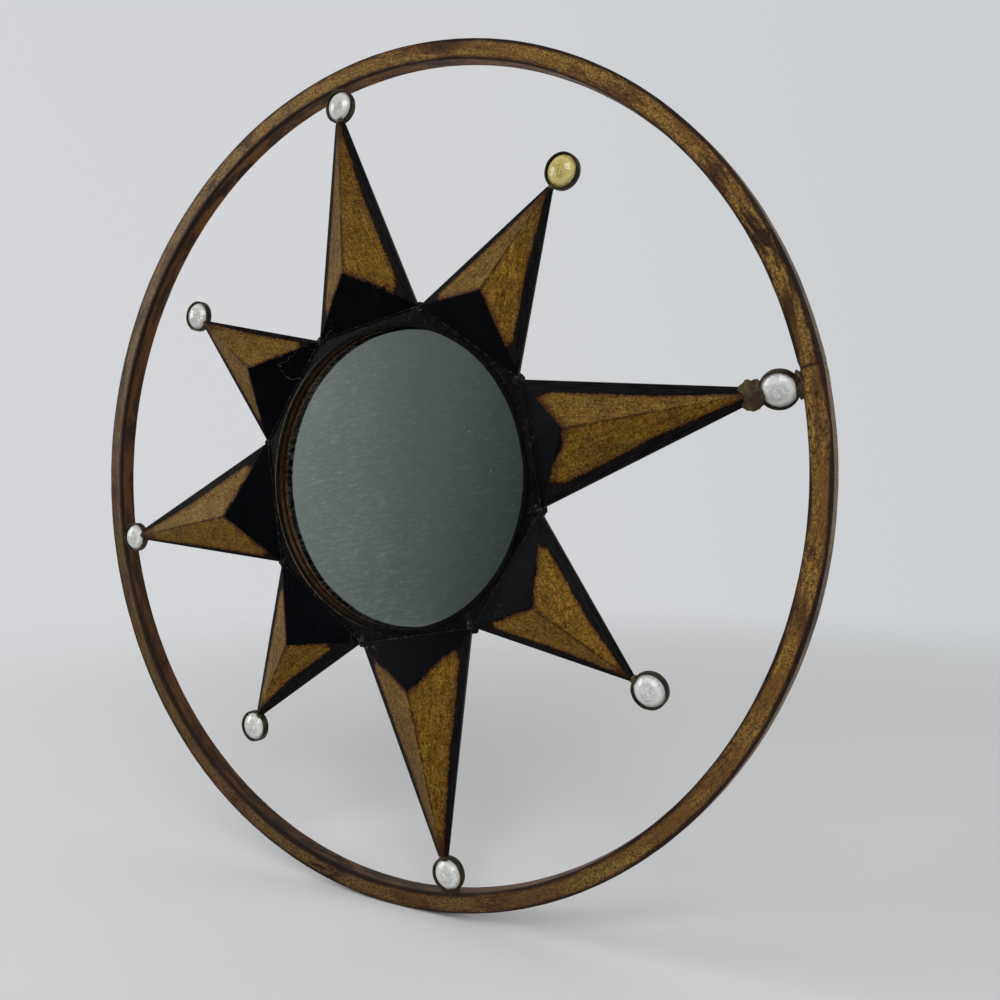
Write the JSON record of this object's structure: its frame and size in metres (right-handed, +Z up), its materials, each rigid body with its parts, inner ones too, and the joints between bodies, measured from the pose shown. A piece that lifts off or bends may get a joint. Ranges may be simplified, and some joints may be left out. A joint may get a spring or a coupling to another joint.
{
  "type": "wall mirror",
  "caption": "Round wall mirror in an eight-rayed folded-metal star, with a glass stone in a cup at each ray's tip, inside a hoop of square bar",
  "frame": {"origin": "the middle of the backing plate's rear face, where the mirror bears on the wall", "axes": "+Y into the wall and the mirror's front towards -Y; +Z up, along the upright long ray; +X to the viewer's right"},
  "size_m": [0.4363, 0.0242, 0.4358],
  "materials": {
    "hoop_gilt": "mottled old gold paint over dark primer, worn nearly black along the edges",
    "ray_gilt": "brushed gold paint with brown mottling and dark edges, satin black on the inner facet",
    "cup_dark": "dark olive brown, rough with brazing",
    "stone_clear": "clear domed glass over crinkled silver foil",
    "stone_yellow": "clear domed glass over crinkled yellow foil",
    "collar_black": "satin black, golden brown on its inner wall, with rough weld at its corners",
    "mirror_silver": "silvered glass with dust and faint clouding",
    "backing_sheet": "plain dark painted sheet"
  },
  "bodies": {
    "root": {"hoop": "hoop_gilt", "mirror_collar": "collar_black", "mirror_glass": "mirror_silver", "backing_plate": "backing_sheet", "ray_right": "ray_gilt", "cup_right": "cup_dark", "stone_right": "stone_clear", "ray_up_right": "ray_gilt", "cup_up_right": "cup_dark", "stone_up_right": "stone_yellow", "ray_up": "ray_gilt", "cup_up": "cup_dark", "stone_up": "stone_clear", "ray_up_left": "ray_gilt", "cup_up_left": "cup_dark", "stone_up_left": "stone_clear", "ray_left": "ray_gilt", "cup_left": "cup_dark", "stone_left": "stone_clear", "ray_down_left": "ray_gilt", "cup_down_left": "cup_dark", "stone_down_left": "stone_clear", "ray_down": "ray_gilt", "cup_down": "cup_dark", "stone_down": "stone_clear", "ray_down_right": "ray_gilt", "cup_down_right": "cup_dark", "stone_down_right": "stone_clear"}
  },
  "joints": []
}
